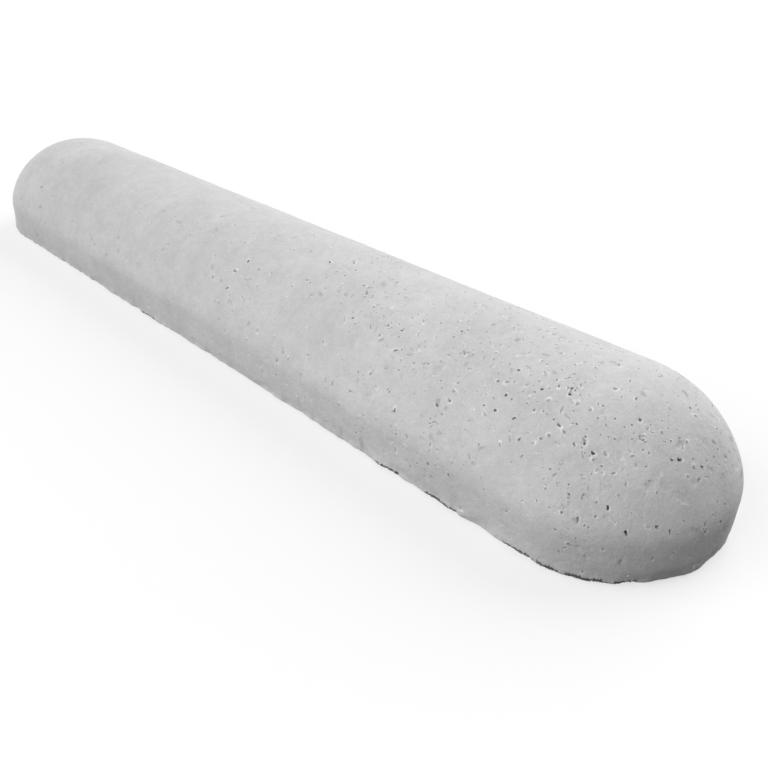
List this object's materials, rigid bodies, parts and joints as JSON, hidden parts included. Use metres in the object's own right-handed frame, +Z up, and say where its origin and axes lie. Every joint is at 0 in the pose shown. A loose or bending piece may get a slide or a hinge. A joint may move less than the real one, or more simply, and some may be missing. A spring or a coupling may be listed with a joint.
{
  "type": "concrete kerb stone",
  "caption": "Low concrete kerb stone with a domed arch section, upright sides, a flat bed and rounded noses, laid on paving to stop wheels or mark an edge.",
  "frame": {"origin": "middle of the flat bed, on the surface that the stone lies on", "axes": "+X along the stone from nose to nose, +Y across it, +Z up to the crown"},
  "size_m": [1, 0.19, 0.11],
  "materials": {
    "concrete": "matte grey cast concrete with fine open pores"
  },
  "bodies": {
    "root": {"kerb_stone": "concrete"}
  },
  "joints": []
}
